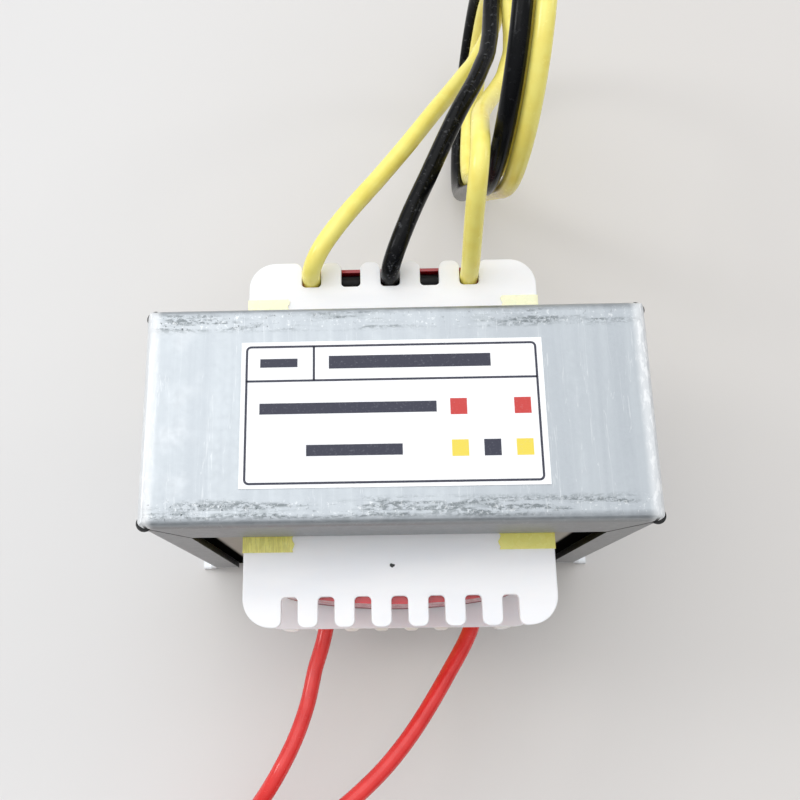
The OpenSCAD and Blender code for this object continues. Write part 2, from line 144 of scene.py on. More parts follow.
def dragged_bands(tree, place, height, off_middle, across, zinc):
    """Bands dragged by the press tool: grey strokes along the fold, broken into grains."""
    band = overlap(
        tree,
        add(tree, "MapRange", (off_middle, 11 * MM, 12.3 * MM), **EASED),
        add(tree, "MapRange", (off_middle, 13.6 * MM, 14.5 * MM, 1, 0), **EASED),
        add(tree, "MapRange", (height, WEB_Z - 0.9 * MM, WEB_Z - 0.3 * MM), **EASED),
    )
    patches = cloud(tree, place, 5 * MM, 3, (0.4, 1, 1))
    patches = add(tree, "MapRange", (patches, 0.38, 0.56), **EASED)
    worn = overlap(tree, band, patches)
    smears = cloud(tree, place, 1.1 * MM, 6, (0.2, 1, 1), 0.7)
    smears = add(tree, "MapRange", (smears, 0.5, 0.66), **EASED)
    smears = overlap(tree, worn, smears, 0.4)
    zinc = add(tree, "Mix", {0: smears, 6: zinc, 7: "#868d8f"}, **COLOURS)
    grains = cloud(tree, place, 0.35 * MM, 4, (0.5, 1, 1), 0.7)
    grains = add(tree, "MapRange", (grains, 0.42, 0.58), **EASED)
    strokes = overlap(tree, worn, scratched(tree, place, 3 * MM, (0.1, 1, 1), 0.07), grains)
    inked = overlap(tree, strokes, 0.75)
    zinc = add(tree, "Mix", {0: inked, 6: zinc, 7: "#646b6d"}, **COLOURS)
    flecks = cloud(tree, place, 0.4 * MM, 4, (0.8, 0.7, 1), 0.7)
    flecks = add(tree, "MapRange", (flecks, 0.58, 0.66), **EASED)
    flecks = overlap(tree, band, flecks, 0.5)
    zinc = add(tree, "Mix", {0: flecks, 6: zinc, 7: "#e6e9ea"}, **COLOURS)
    # hairlines across the web, from sliding on other parts
    hairs = overlap(tree, scratched(tree, place, 2.6 * MM, (1, 0.05, 1), 0.004), 0.25)
    zinc = add(tree, "Mix", {0: hairs, 6: zinc, 7: "#e6e9ea"}, **COLOURS)
    # pepper specks, thickest at the near left corner
    specks = cloud(tree, place, 0.42 * MM, 2)
    specks = add(tree, "MapRange", (specks, 0.66, 0.72), **EASED)
    thinning = add(tree, "MapRange", (across, -30 * MM, -8 * MM, 1, 0.3), **EASED)
    specks = overlap(tree, band, specks, thinning)
    zinc = add(tree, "Mix", {0: specks, 6: zinc, 7: "#4a5052"}, **COLOURS)
    return zinc, strokes


def open_edges(tree, height, off_middle, off_centre, flange, zinc):
    """Painted shade along the open corner seams and on the cut edges inside the flanges, both
    dark.
    """
    up_seam = add(tree, "Math", (height, SEAM_FOOT_Z), **MINUS)
    along_seam = add(tree, "Math", (off_centre, SEAM_FOOT_X), **MINUS)
    along_seam = add(tree, "Math", (along_seam, SEAM_SLOPE), **TIMES)
    off_seam = add(tree, "Math", (up_seam, along_seam), **MINUS)
    off_seam = add(tree, "Math", (off_seam,), **UNSIGNED)
    seam = add(tree, "MapRange", (off_seam, 0.4 * MM, 0.6 * MM, 1, 0), **EASED)
    seam = overlap(tree, flange, seam)
    zinc = add(tree, "Mix", {0: seam, 6: zinc, 7: "#161614"}, **COLOURS)
    facing = add(tree, "NewGeometry", output="Normal")
    sideways = add(tree, "Math", (add(tree, "SeparateXYZ", (facing,), "X"),), **UNSIGNED)
    cut_edge_shade = overlap(
        tree,
        add(tree, "MapRange", (sideways, 0.6, 0.8), **EASED),
        add(tree, "MapRange", (off_middle, 13.9 * MM, 14.1 * MM), **EASED),
        add(tree, "MapRange", (off_centre, 29.4 * MM, 29.6 * MM, 1, 0), **EASED),
    )
    return add(tree, "Mix", {0: cut_edge_shade, 6: zinc, 7: "#141412"}, **COLOURS)


def galvanised_steel():
    """Hot-dip galvanised strip, roller-levelled, folded and handled.

    The zinc is a soft blue-grey with cloudy mottling and faint rolling streaks. The press
    tool has scuffed it dark and bright in a band beside each long fold.
    """
    material, tree, place = start_material("galvanised_steel")
    across, deep, height = (add(tree, "SeparateXYZ", (place,), axis) for axis in "XYZ")
    off_centre = add(tree, "Math", (across,), **UNSIGNED)
    off_middle = add(tree, "Math", (deep,), **UNSIGNED)
    mottle = cloud(tree, place, 0.9 * MM, 5, roughness=0.62)
    mottled = add(tree, "MapRange", (mottle, 0.3, 0.7), **EASED)
    zinc = add(tree, "Mix", {0: mottled, 6: "#acb2b7", 7: "#b7bdc2"}, **COLOURS)
    streaks = cloud(tree, place, 1.6 * MM, 3, (1, 0.03, 1))
    streaks = add(tree, "MapRange", (streaks, 0.35, 0.72, 0, 0.6), **EASED)
    zinc = add(tree, "Mix", {0: streaks, 6: zinc, 7: "#bfc5c9"}, **COLOURS)
    broad = cloud(tree, place, 22 * MM, 2)
    broad = add(tree, "MapRange", (broad, 0.35, 0.7, 0, 0.2), **EASED)
    zinc = add(tree, "Mix", {0: broad, 6: zinc, 7: "#a8aeb3"}, **COLOURS)
    # the flanges are painted a darker grey than the web, a painted shade for their upright
    # faces
    flange = add(tree, "MapRange", (off_middle, 14.5 * MM, 14.9 * MM), **EASED)
    painted_flange_shade = add(tree, "Mix", {0: mottle, 6: "#8c8e90", 7: "#969899"}, **COLOURS)
    zinc = add(tree, "Mix", {0: flange, 6: zinc, 7: painted_flange_shade}, **COLOURS)
    # handled pale patches towards one end
    patches = cloud(tree, place, 5 * MM, 4)
    pale = overlap(
        tree,
        add(tree, "MapRange", (off_middle, 13.5 * MM, 14.5 * MM, 1, 0), **EASED),
        add(tree, "MapRange", (across, -31 * MM, -20 * MM, 1, 0), **EASED),
        add(tree, "MapRange", (patches, 0.42, 0.66), **EASED),
    )
    zinc = add(tree, "Mix", {0: pale, 6: zinc, 7: "#bfc4c8"}, **COLOURS)
    zinc, strokes = dragged_bands(tree, place, height, off_middle, across, zinc)
    # the bends carry a painted highlight with bright scoring, evenest on the left; the feet a
    # painted highlight
    bend = overlap(
        tree,
        add(tree, "MapRange", (off_centre, 31.6 * MM, 32.8 * MM), **EASED),
        add(tree, "MapRange", (height, 54 * MM, 55 * MM), **EASED),
    )
    scored = cloud(tree, place, 0.6 * MM, 5, (1, 0.3, 1), 0.7)
    scored = add(tree, "MapRange", (scored, 0.4, 0.6), **EASED)
    painted_highlight_level = add(tree, "MapRange", (across, -1 * MM, 1 * MM, 0.75, 0.6), **EASED)
    scored = add(tree, "Math", (scored, painted_highlight_level), **LARGER)
    rubbed = overlap(tree, bend, scored, 0.9)
    zinc = add(tree, "Mix", {0: rubbed, 6: zinc, 7: "#eff1f2"}, **COLOURS)
    # painted highlight on the feet
    foot = add(tree, "MapRange", (height, 2.5 * MM, 4 * MM, 0.6, 0), **EASED)
    zinc = add(tree, "Mix", {0: foot, 6: zinc, 7: "#e9ebec"}, **COLOURS)
    zinc = open_edges(tree, height, off_middle, off_centre, flange, zinc)
    dull_metal = add(tree, "Math", (flange, bend), **LARGER)
    lumps = add(tree, "Math", (strokes, mottle), **PLUS)
    close_material(tree, {
        "Base Color": zinc,
        "Metallic": add(tree, "MapRange", (dull_metal, 0, 1, 1, 0.35), **EASED),
        "Roughness": add(tree, "MapRange", (mottle, 0.25, 0.75, 0.38, 0.52), **EASED),
        "Normal": add(tree, "Bump", {"Height": lumps, "Distance": 0.015 * MM}),
    })
    return material


def shadowed_cut_steel():
    """Bare steel where the strip was cropped, torn towards one side, painted near black as
    shade under the web.
    """
    material, tree, place = start_material("shadowed_cut_steel")
    tear = cloud(tree, place, 0.3 * MM, 4)
    close_material(tree, {
        "Base Color": add(tree, "Mix", {0: tear, 6: "#121213", 7: "#2c2c2e"}, **COLOURS),
        "Metallic": 0.3,
        "Roughness": add(tree, "MapRange", (tear, 0.3, 0.7, 0.45, 0.6), **EASED),
        "Normal": add(tree, "Bump", {"Height": tear, "Distance": 0.03 * MM}),
    })
    return material


def silicon_steel():
    """Cold-rolled silicon steel sheet, punched, annealed and varnished.

    The faces are a plain satin grey, painted nearly black beside the frame as a painted shade.
    Seen from the edge, each half-millimetre sheet is a fine line.
    """
    material, tree, place = start_material("silicon_steel")
    across, deep = (add(tree, "SeparateXYZ", (place,), axis) for axis in "XY")
    facing = add(tree, "NewGeometry", output="Normal")
    edge_on = add(tree, "Math", (add(tree, "SeparateXYZ", (facing,), "Y"),), **UNSIGNED)
    edge_on = add(tree, "MapRange", (edge_on, 0.4, 0.6, 1, 0), **EASED)
    # one line for each 0.5 mm sheet
    sheets = add(tree, "Math", (deep, 2 * math.pi / (0.5 * MM)), **TIMES)
    sheets = add(tree, "Math", (sheets,), operation="COSINE")
    sheets = add(tree, "MapRange", (sheets, 0.55, 0.95), **EASED)
    gaps = overlap(tree, sheets, edge_on)
    grain = cloud(tree, place, 1.2 * MM, 5, (1, 1, 0.3))
    steel = add(tree, "Mix", {0: grain, 6: "#a8a49e", 7: "#bab6b0"}, **COLOURS)
    # the painted shade beside the frame reaches further in on the right leg than on the left
    left = add(tree, "MapRange", (across, -27 * MM, -26.1 * MM, 1, 0), **EASED)
    right = add(tree, "MapRange", (across, 25.1 * MM, 25.9 * MM), **EASED)
    painted_gap_shade = add(tree, "Math", (left, right), **LARGER)
    steel = add(tree, "Mix", {0: painted_gap_shade, 6: steel, 7: "#070706"}, **COLOURS)
    steel = add(tree, "Mix", {0: gaps, 6: steel, 7: "#2b2a29"}, **COLOURS)
    ridges = add(tree, "Math", (1.0, gaps), **MINUS)
    close_material(tree, {
        "Base Color": steel,
        "Metallic": add(tree, "MapRange", (painted_gap_shade, 0, 1, 0.35, 0), **EASED),
        "Roughness": add(tree, "MapRange", (grain, 0.3, 0.7, 0.42, 0.55), **EASED),
        "Specular IOR Level": 0.0,
        "Normal": add(tree, "Bump", {"Height": ridges, "Distance": 0.06 * MM}),
    })
    return material


def natural_nylon():
    """Natural nylon 66, injection moulded.

    It is milky white and lets a little light through its thin flanges. Flow from the gate
    leaves faint cloudy lines, and one dark speck is moulded in.
    """
    material, tree, place = start_material("natural_nylon")
    flow = cloud(tree, place, 5 * MM, 3, (0.25, 1, 1))
    milky = add(tree, "MapRange", (flow, 0.35, 0.7), **EASED)
    milk = add(tree, "Mix", {0: milky, 6: "#fafafc", 7: "#f3f4f8"}, **COLOURS)
    # the speck, a short dark fibre in the upper flange
    about_speck = add(tree, "VectorMath", (place, mm(-1, -19, 44.2)), **MINUS)
    turned = add(tree, "Mapping", {
        "Vector": about_speck, "Rotation": (0, 0, math.radians(50)), "Scale": (0.85, 1.7, 0.4),
    })
    reach = add(tree, "VectorMath", (turned,), "Value", operation="LENGTH")
    ragged = cloud(tree, place, 0.35 * MM, 4)
    ragged = add(tree, "MapRange", (ragged, 0.3, 0.7, -0.14 * MM, 0.2 * MM), **EASED)
    reach = add(tree, "Math", (reach, ragged), **PLUS)
    speck = add(tree, "MapRange", (reach, 0.34 * MM, 0.4 * MM, 1, 0), **EASED)
    close_material(tree, {
        "Base Color": add(tree, "Mix", {0: speck, 6: milk, 7: "#0c0b0b"}, **COLOURS),
        "Roughness": add(tree, "MapRange", (flow, 0.3, 0.7, 0.34, 0.46), **EASED),
        "IOR": 1.53,
        "Subsurface Weight": 0.4,
        "Subsurface Radius": (1.0, 0.9, 0.85),
        "Subsurface Scale": 0.8 * MM,
        "Normal": add(tree, "Bump", {"Height": flow, "Distance": 0.03 * MM}),
    })
    return material


def enamelled_copper():
    """Enamelled copper magnet wire in close rows 0.4 mm apart under a clear coat, with painted
    shade in the grooves.
    """
    material, tree, place = start_material("enamelled_copper")
    height = add(tree, "SeparateXYZ", (place,), "Z")
    rows = add(tree, "Math", (height, 2 * math.pi / (0.4 * MM)), **TIMES)
    rows = add(tree, "Math", (rows,), operation="SINE")
    # the grooves between the rows are painted darker copper, a painted shade
    crowns_and_groove_shade = add(tree, "MapRange", (rows, -1, 0.2), **EASED)
    worn = cloud(tree, place, 2 * MM)
    close_material(tree, {
        "Base Color": add(tree, "Mix", {0: crowns_and_groove_shade, 6: "#5a2a14", 7: "#c06a3c"}, **COLOURS),
        "Metallic": 0.9,
        "Roughness": add(tree, "MapRange", (worn, 0.3, 0.7, 0.28, 0.4), **EASED),
        "Coat Weight": 0.5,
        "Normal": add(tree, "Bump", {"Height": rows, "Distance": 0.12 * MM}),
    })
    return material


def polyester_film(name, colours, see_through=0.0, sheen_low=0.22, joint_shade_below=-1.0):
    """Polyester film tape, glossy, with fine creases and slightly darker laps.

    The colours are its near end's, its laps' and its far end's; the change to the far end is a
    painted light and shade. Below a height the film is painted darker, a painted shade at its
    foot.
    """
    material, tree, place = start_material(name)
    across, deep, height = (add(tree, "SeparateXYZ", (place,), axis) for axis in "XYZ")
    near, lapped, far = colours
    laps = cloud(tree, place, 8 * MM, 1, (0.3, 0.3, 1))
    laps = add(tree, "MapRange", (laps, 0.4, 0.62), **EASED)
    film = add(tree, "Mix", {0: laps, 6: near, 7: lapped}, **COLOURS)
    # towards the far end the colour carries a painted light and shade, for how that end is lit
    far_end_lighting = add(tree, "MapRange", (deep, -12 * MM, 18 * MM), **EASED)
    film = add(tree, "Mix", {0: far_end_lighting, 6: film, 7: far}, **COLOURS)
    # below the given height the film is painted dark red, a painted shade where it meets the
    # flange
    edges = add(tree, "MapRange", (height, joint_shade_below - 0.2 * MM, joint_shade_below, 1, 0), **EASED)
    film = add(tree, "Mix", {0: edges, 6: film, 7: "#7a0c17"}, **COLOURS)
    # the near left end is puckered where it was laid down twice, its creases painted darker as
    # shade
    pucker_shade = overlap(
        tree,
        scratched(tree, place, 0.6 * MM, (1, 0.1, 0.1), 0.07),
        add(tree, "MapRange", (across, -15 * MM, -14 * MM, 1, 0), **EASED),
        add(tree, "MapRange", (deep, -15 * MM, -14 * MM, 1, 0), **EASED),
        0.3,
    )
    film = add(tree, "Mix", {0: pucker_shade, 6: film, 7: "#a39b3e"}, **COLOURS)
    creases = cloud(tree, place, 1.5 * MM, 3, (1, 1, 0.35))
    sheen = (creases, 0.3, 0.7, sheen_low, sheen_low + 0.14)
    sheen = add(tree, "MapRange", sheen, **EASED)
    sheen = add(tree, "Math", (sheen, overlap(tree, edges, 0.5)), **PLUS)
    close_material(tree, {
        "Base Color": film,
        "Roughness": sheen,
        "IOR": 1.6,
        "Subsurface Weight": see_through,
        "Subsurface Scale": 0.6 * MM,
        "Normal": add(tree, "Bump", {"Height": creases, "Distance": 0.05 * MM}),
    })
    return material


def shrink_sleeve():
    """Black polyolefin sleeving, satin, faintly ribbed by the joint beneath."""
    material, tree, place = start_material("shrink_sleeve")
    ribs = cloud(tree, place, 1.1 * MM, 2)
    close_material(tree, {
        "Base Color": add(tree, "Mix", {0: ribs, 6: "#060607", 7: "#121113"}, **COLOURS),
        "Roughness": add(tree, "MapRange", (ribs, 0.3, 0.7, 0.35, 0.5), **EASED),
        "IOR": 1.5,
        "Specular IOR Level": 0.2,
        "Normal": add(tree, "Bump", {"Height": ribs, "Distance": 0.08 * MM}),
    })
    return material


def label_paper():
    """Coated self-adhesive paper, bright white with a fine tooth and lightly rubbed edges."""
    material, tree, place = start_material("label_paper")
    fibres = cloud(tree, place, 0.3 * MM, 4)
    rubbed = cloud(tree, place, 9 * MM, 3)
    rubbed = add(tree, "MapRange", (rubbed, 0.45, 0.75), **EASED)
    close_material(tree, {
        "Base Color": add(tree, "Mix", {0: rubbed, 6: "#fafbfc", 7: "#f1f2f4"}, **COLOURS),
        "Roughness": add(tree, "MapRange", (fibres, 0.3, 0.7, 0.42, 0.55), **EASED),
        "IOR": 1.5,
        "Normal": add(tree, "Bump", {"Height": fibres, "Distance": 0.006 * MM}),
    })
    return material


def printing_ink(name, colour):
    """Printing ink on the label, a little uneven where the paper's tooth shows through."""
    material, tree, place = start_material(name)
    tooth = cloud(tree, place, 0.25 * MM, 4)
    tooth = add(tree, "MapRange", (tooth, 0.55, 0.8, 0, 0.14), **EASED)
    close_material(tree, {
        "Base Color": add(tree, "Mix", {0: tooth, 6: colour, 7: "#c9cbd4"}, **COLOURS),
        "Roughness": 0.45,
        "IOR": 1.5,
    })
    return material


def soft_pvc(name, colour, shade, shine=0.5, dust="#000000", dusty=0.0):
    """Soft PVC wire insulation, extruded, with a waxy shine and light rub marks."""
    material, tree, place = start_material(name)
    waves = cloud(tree, place, 3 * MM, 3)
    waves = add(tree, "MapRange", (waves, 0.35, 0.7), **EASED)
    rubs = cloud(tree, place, 0.8 * MM, 5, roughness=0.65)
    pvc = add(tree, "Mix", {0: waves, 6: colour, 7: shade}, **COLOURS)
    if dusty:
        # chalky talc is left where the wire rubs the bobbin
        height = add(tree, "SeparateXYZ", (place,), "Z")
        near_bobbin = add(tree, "MapRange", (height, 46 * MM, 60 * MM, 1, 0.15), **EASED)
        talc = add(tree, "MapRange", (rubs, 0.56, 0.7), **EASED)
        talc = overlap(tree, talc, near_bobbin, dusty)
        pvc = add(tree, "Mix", {0: talc, 6: pvc, 7: dust}, **COLOURS)
    close_material(tree, {
        "Base Color": pvc,
        "Roughness": add(tree, "MapRange", (rubs, 0.3, 0.7, 0.17, 0.28), **EASED),
        "IOR": 1.53,
        "Specular IOR Level": shine,
        "Normal": add(tree, "Bump", {"Height": rubs, "Distance": 0.001 * MM}),
    })
    return material


def tinned_copper():
    """Stranded copper dipped in solder, bright grey and slightly lumpy."""
    material, tree, place = start_material("tinned_copper")
    lumps = cloud(tree, place, 0.5 * MM, 3)
    close_material(tree, {
        "Base Color": add(tree, "Mix", {0: lumps, 6: "#b9bcbd", 7: "#d9dbdb"}, **COLOURS),
        "Metallic": 1.0,
        "Roughness": add(tree, "MapRange", (lumps, 0.3, 0.7, 0.2, 0.38), **EASED),
        "Normal": add(tree, "Bump", {"Height": lumps, "Distance": 0.05 * MM}),
    })
    return material


def paper_tie():
    """Waxed white paper over a wire core, creased where it is bent."""
    material, tree, place = start_material("paper_tie")
    creases = cloud(tree, place, 0.6 * MM, 4)
    close_material(tree, {
        "Base Color": add(tree, "Mix", {0: creases, 6: "#e6e6e0", 7: "#f6f6f2"}, **COLOURS),
        "Roughness": add(tree, "MapRange", (creases, 0.3, 0.7, 0.5, 0.65), **EASED),
        "Normal": add(tree, "Bump", {"Height": creases, "Distance": 0.04 * MM}),
    })
    return material


def studio_card():
    """Pale matt card for the object to stand on."""
    material, tree, place = start_material("studio_card")
    tone = cloud(tree, place, 90 * MM, 2)
    card = add(tree, "Mix", {0: tone, 6: "#dbdad9", 7: "#dfdedd"}, **COLOURS)
    # the card is painted darker towards the right, a painted shade
    across = add(tree, "SeparateXYZ", (place,), "X")
    shaded = add(tree, "MapRange", (across, -90 * MM, 80 * MM), **EASED)
    card = add(tree, "Mix", {0: shaded, 6: card, 7: "#d6d3d0"}, **COLOURS)
    close_material(tree, {"Base Color": card, "Roughness": 0.85})
    return material


STEEL = galvanised_steel()
SHADOWED_CUT_STEEL = shadowed_cut_steel()
CORE_STEEL = silicon_steel()
NYLON = natural_nylon()
COPPER = enamelled_copper()
# the far ends are painted paler yellow and darker red, a painted light and shade
YELLOW_FILM = polyester_film("yellow_film", ("#fff792", "#f7ec80", "#fffbd4"), 0.12)
RED_FILM = polyester_film(
    "red_film", ("#c81f2b", "#a8141f", "#a3121d"), sheen_low=0.1,
    # the wrap's lowest 2.8 mm carry the painted shade at the flange
    joint_shade_below=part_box("secondary_wrap")[0][2] + 2.8 * MM,
)
SLEEVE = shrink_sleeve()
PAPER = label_paper()
NAVY_INK = printing_ink("navy_ink", "#2b2d40")
RED_INK = printing_ink("red_ink", "#c93a36")
YELLOW_INK = printing_ink("yellow_ink", "#ecd64e")
RED_PVC = soft_pvc("red_pvc", "#e33532", "#d92b29")
YELLOW_PVC = soft_pvc("yellow_pvc", "#fff382", "#fbea73")
BLACK_PVC = soft_pvc("black_pvc", "#08090b", "#0c0d10", shine=0.12, dust="#6d6f73", dusty=0.4)
TIN = tinned_copper()
TIE = paper_tie()


# ---------------------------------------------------------------- camera

CAMERA_PLACE = mm(-2.66, -31.02, 170.64)
CAMERA_TILT = -0.2791
CAMERA_ROLL = -0.0181
CAMERA_PAN = 0.0190
SENSOR_W = 36
FOCAL_LENGTH = 40.37
SHIFT_ACROSS = 0.0503
SHIFT_UP = -0.0017


def make_camera():
    """A camera over the part, leaning a little from the primary side."""
    data = bpy.data.cameras.new("studio_camera")
    data.sensor_width = SENSOR_W
    data.lens = FOCAL_LENGTH
    data.shift_x = SHIFT_ACROSS
    data.shift_y = SHIFT_UP
    data.clip_start = 10 * MM
    camera = bpy.data.objects.new("studio_camera", data)
    turn = (
        Matrix.Rotation(CAMERA_ROLL, 3, "Z") @ Matrix.Rotation(CAMERA_PAN, 3, "Y")
        @ Matrix.Rotation(CAMERA_TILT, 3, "X") @ Matrix.Diagonal((1, -1, -1))
    )
    right, down, ahead = turn
    facing = Matrix((right, -down, -ahead)).transposed().to_4x4()
    camera.matrix_world = Matrix.Translation(CAMERA_PLACE) @ facing
    bpy.context.scene.collection.objects.link(camera)
    bpy.context.scene.camera = camera


make_camera()


# ---------------------------------------------------------------- wires

PRIMARY_OD = 2.5 * MM
SECONDARY_OD = 2.8 * MM
TIP_D = 1.3 * MM
TIP_LEN = 6 * MM

RED_ROUTE_1 = [
    (-11.4, -22.7, 19), (-11.4, -25, 19), (-12.2, -29, 19), (-13.4, -33, 19.5),
    (-14.5, -38, 20), (-16.2, -43, 21.3), (-18.5, -47.6, 22), (-21, -51.5, 20.5),
    (-24, -55.5, 17), (-27, -60, 11.5), (-29.3, -64.5, 5.6), (-30, -68, 2.6),
    (-30, -70.8, 2),
]
RED_ROUTE_2 = [
    (12.4, -22.7, 21.5), (12.4, -25, 21.5), (11, -28.6, 22), (8.1, -33.3, 23),
    (4.9, -38.2, 24), (1.4, -43, 24.7), (-2.7, -47.6, 25), (-7.6, -51.9, 24.8),
    (-13.5, -56.3, 23.4), (-19.5, -60.3, 20), (-24.8, -63.6, 15.3), (-28.6, -66.8, 9.8),
    (-30, -69.2, 6.2), (-30, -71, 5),
]
YELLOW_ROUTE_1 = [
    (-12.3, 24.45, 40.5), (-12.3, 24.45, 43.2), (-12.1, 24.95, 46.3), (-10.4, 27.6, 48.6),
    (-6.6, 32.8, 49), (-2.3, 38.9, 47.3), (2.4, 45.2, 46.5), (7.2, 52.5, 44.8),
    (11.2, 59, 42.4), (14.9, 65, 40.4),
]
BLACK_ROUTE = [
    (-0.3, 24.45, 40.5), (-0.3, 24.45, 43.2), (-0.2, 25, 46.4), (1, 27.8, 48.8),
    (3.1, 32.8, 49.5), (5.6, 38.4, 49.2), (8.3, 44.3, 49.5), (11, 50, 49.6),
    (13.8, 56, 48), (16.3, 63, 45.6),
]
YELLOW_ROUTE_2 = [
    (11.7, 24.45, 40.5), (11.7, 24.45, 43.5), (11.7, 24.9, 47), (11.6, 26.5, 51.5),
    (11.6, 29, 56.5), (11.8, 32, 60.3), (12.2, 36, 61.3), (12.6, 40.5, 59.2),
    (13.4, 45.5, 55.2), (15.6, 51, 50.6), (18.5, 57.5, 46.4), (20.6, 65, 43.3),
]

# the hank, an upright oval of three lanes that leans back on its low end
HANK = (
    Matrix.Translation(mm(18.3, 65, 37.14))
    @ Matrix.Rotation(math.radians(-5), 4, "Z")
    @ Matrix.Rotation(math.radians(3), 4, "Y")
    @ Matrix.Rotation(math.radians(27), 4, "X")
)
HALF_RUN = 17.6 * MM
LANE_OUT = 19.9 * MM
LANE_IN = 17.1 * MM
LANE_X = 1.55 * MM
HALF_GAP = 10 * MM
TURN_B = 11.1 * MM
TURN_S = -8 * MM

# the coil, three turns across and two high, lying on the floor
COIL_MIDDLE = mm(-14, -80, 0)
COIL_LOW = 1.65 * MM
COIL_HIGH = 4.15 * MM
COIL_RADII = (16 * MM, 13.5 * MM, 11 * MM)
COIL_TIP_R = 8.59 * MM
# in degrees, where the turns begin and how far apart their places are
COIL_START = 180
COIL_STRIDE = 12


def through(points, steps):
    """A smooth line through points, with steps to each stretch."""
    line = [points[0]]
    last = len(points) - 1
    for i in range(last):
        before, start, end, after = (points[min(max(k, 0), last)] for k in range(i - 1, i + 3))
        reach = (end - start).length / 3
        out = start + (end - before).normalized() * reach
        back = end - (after - start).normalized() * reach
        line += geometry.interpolate_bezier(start, out, back, end, steps + 1)[1:]
    return line


def hank_lane(across, outward):
    """A strand's way into the hank and once round it."""
    places = []
    for angle in (0, 45, 90):
        turn = math.radians(angle)
        reach = outward - TURN_B
        places.append((TURN_B + reach * math.sin(turn), TURN_S + reach * math.cos(turn)))
    places += [(outward, -HALF_GAP), (outward, -HALF_RUN)]
    for angle in range(15, 180, 15):
        turn = math.radians(angle)
        places.append((outward * math.cos(turn), -HALF_RUN - outward * math.sin(turn)))
    places += [(-outward, along * HALF_RUN) for along in (-1, -0.67, -0.33, 0, 0.33, 0.67, 1)]
    for angle in range(165, 0, -15):
        turn = math.radians(angle)
        places.append((outward * math.cos(turn), HALF_RUN + outward * math.sin(turn)))
    places += [(outward, HALF_RUN), (outward, HALF_GAP)]
    return [HANK @ Vector((across, b, s)) for b, s in places]


def coil_turns(height, tip_angle):
    """A strand's turns in the coil, from its outside inwards, up to its tinned end."""
    places = []
    inner_end = 1080 + tip_angle - math.degrees(math.atan2(TIP_LEN / 2, COIL_TIP_R))
    tip_start_r = math.hypot(COIL_TIP_R, TIP_LEN / 2)
    # where a strand steps inwards, from one radius to the next
    bends = [
        (460, 520, COIL_RADII[0], COIL_RADII[1]),
        (820, 880, COIL_RADII[1], COIL_RADII[2]),
        (inner_end - 55, inner_end, COIL_RADII[2], tip_start_r),
    ]
    stride = (inner_end - COIL_START) / round((inner_end - COIL_START) / COIL_STRIDE)
    angle = COIL_START
    while angle < inner_end + 1:
        radius = COIL_RADII[0]
        for start, end, outer, inner in bends:
            if angle >= start:
                share = min((angle - start) / (end - start), 1)
                ease = share * share * (3 - 2 * share)
                radius = outer + (inner - outer) * ease
        turn = math.radians(angle)
        places.append(COIL_MIDDLE + Vector((
            radius * math.cos(turn), radius * math.sin(turn), height,
        )))
        angle += stride
    return places


def wire(name, line, diameter, material):
    """Round insulation along a line."""
    curve = bpy.data.curves.new(name, "CURVE")
    curve.dimensions = "3D"
    curve.bevel_depth = diameter / 2
    curve.bevel_resolution = 6
    curve.resolution_u = 3
    curve.use_fill_caps = True
    spline = curve.splines.new("BEZIER")
    spline.bezier_points.add(len(line) - 1)
    for knot, place in zip(spline.bezier_points, line):
        knot.co = place
        knot.handle_left_type = "AUTO"
        knot.handle_right_type = "AUTO"
    piece = bpy.data.objects.new(name, curve)
    bpy.context.scene.collection.objects.link(piece)
    curve.materials.append(material)
    return piece


def new_piece(name, shell, material, replaced=(), smooth_below=40):
    """Turns a finished bmesh into a piece that rides on the root."""
    mesh = bpy.data.meshes.new(name)
    shell.to_mesh(mesh)
    shell.free()
    mesh.shade_smooth()
    mesh.set_sharp_from_angle(angle=math.radians(smooth_below))
    for finish in material if isinstance(material, (list, tuple)) else [material]:
        mesh.materials.append(finish)
    piece = bpy.data.objects.new(name, mesh)
    bpy.context.scene.collection.objects.link(piece)
    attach(piece, "root")
    if replaced:
        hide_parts(*replaced)
    return piece


def axes_to(place, along):
    """A frame of axes at a place, with its Z along a direction."""
    return Matrix.Translation(place) @ along.to_track_quat("Z", "Y").to_matrix().to_4x4()


def tinned_end(name, node, line):
    """Twisted strands dipped in solder, straight on from the end of a wire."""
    along = (line[-1] - line[-2]).normalized()
    sides, steps, strands = 42, 14, 7
    twist = math.radians(150)
    groove, closing = 0.07, 0.7
    shell = bmesh.new()
    ring = bmesh.ops.create_circle(shell, radius=TIP_D / 2, segments=sides)["verts"]
    for corner in ring:
        angle = math.atan2(corner.co.y, corner.co.x)
        corner.co *= 1 - groove + groove * math.cos(strands * angle)
    edges = list({edge for corner in ring for edge in corner.link_edges})
    grown = bmesh.ops.spin(
        shell, geom=ring + edges, cent=(0, 0, 0), axis=UP, dvec=(0, 0, TIP_LEN / steps),
        angle=twist, steps=steps, use_merge=False, use_duplicate=False,
    )["geom_last"]
    end_ring = [item for item in grown if isinstance(item, bmesh.types.BMVert)]
    for corner in end_ring:
        corner.co.xy *= closing
        corner.co.z -= 0.05 * TIP_D
    bmesh.ops.holes_fill(shell, edges=shell.edges, sides=sides)
    bmesh.ops.recalc_face_normals(shell, faces=shell.faces)
    bmesh.ops.transform(shell, matrix=axes_to(line[-1], along), verts=shell.verts)
    return new_piece(name, shell, TIN, [node], 60)


def free_lead(name, route, turns, diameter, material, replaced):
    """A free lead from its notch to its tinned end."""
    joined = through([mm(*place) for place in route], 2) + turns
    piece = wire(name, joined, diameter, material)
    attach(piece, "root")
    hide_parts(*replaced)
    tip = tinned_end(name + "_tinned_end", replaced[0] + "_tip", joined)


